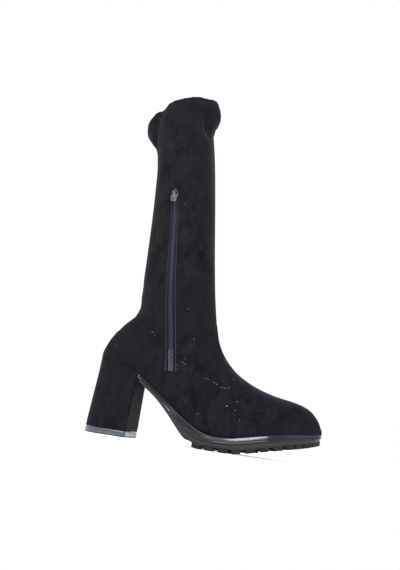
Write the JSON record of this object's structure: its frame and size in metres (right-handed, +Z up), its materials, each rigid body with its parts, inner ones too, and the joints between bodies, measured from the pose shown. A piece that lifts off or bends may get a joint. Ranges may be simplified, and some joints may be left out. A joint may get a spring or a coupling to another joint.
{
  "type": "knee-high boot",
  "caption": "Left knee-high boot: soft hollow shaft and foot in one shell, block heel, lugged unit sole, insole, and a short zip on the inner side with a swinging pull tab.",
  "frame": {"origin": "on the floor, at the middle of the heel's bottom face", "axes": "+X towards the toe, +Y towards the outer side of the foot, +Z up"},
  "size_m": [0.246, 0.092, 0.424],
  "materials": {
    "suede": "black faux suede with a soft sheen",
    "sole_rubber": "glossy black rim over a satin underside",
    "heel_rubber": "semi-gloss grey-black",
    "sock": "matt sock lining",
    "zip_tape": "woven navy-black tape",
    "zip_coil": "blue-grey coil",
    "zip_metal": "dark nickel plate"
  },
  "bodies": {
    "boot": {"upper": "suede", "outsole": "sole_rubber", "heel_block": "suede", "heel_top_piece": "heel_rubber", "insole": "sock", "zip_tape_back": "zip_tape", "zip_tape_front": "zip_tape", "zip_coil": "zip_coil", "zip_slider": "zip_metal"},
    "pull": {"zip_pull": "zip_metal"}
  },
  "joints": [
    {"name": "pull_swing", "type": "hinge", "parent": "boot", "child": "pull", "pos_m": [0.03635, -0.04258, 0.2726], "axis": [-1, 0, 0], "range_deg": [0, 165]}
  ]
}
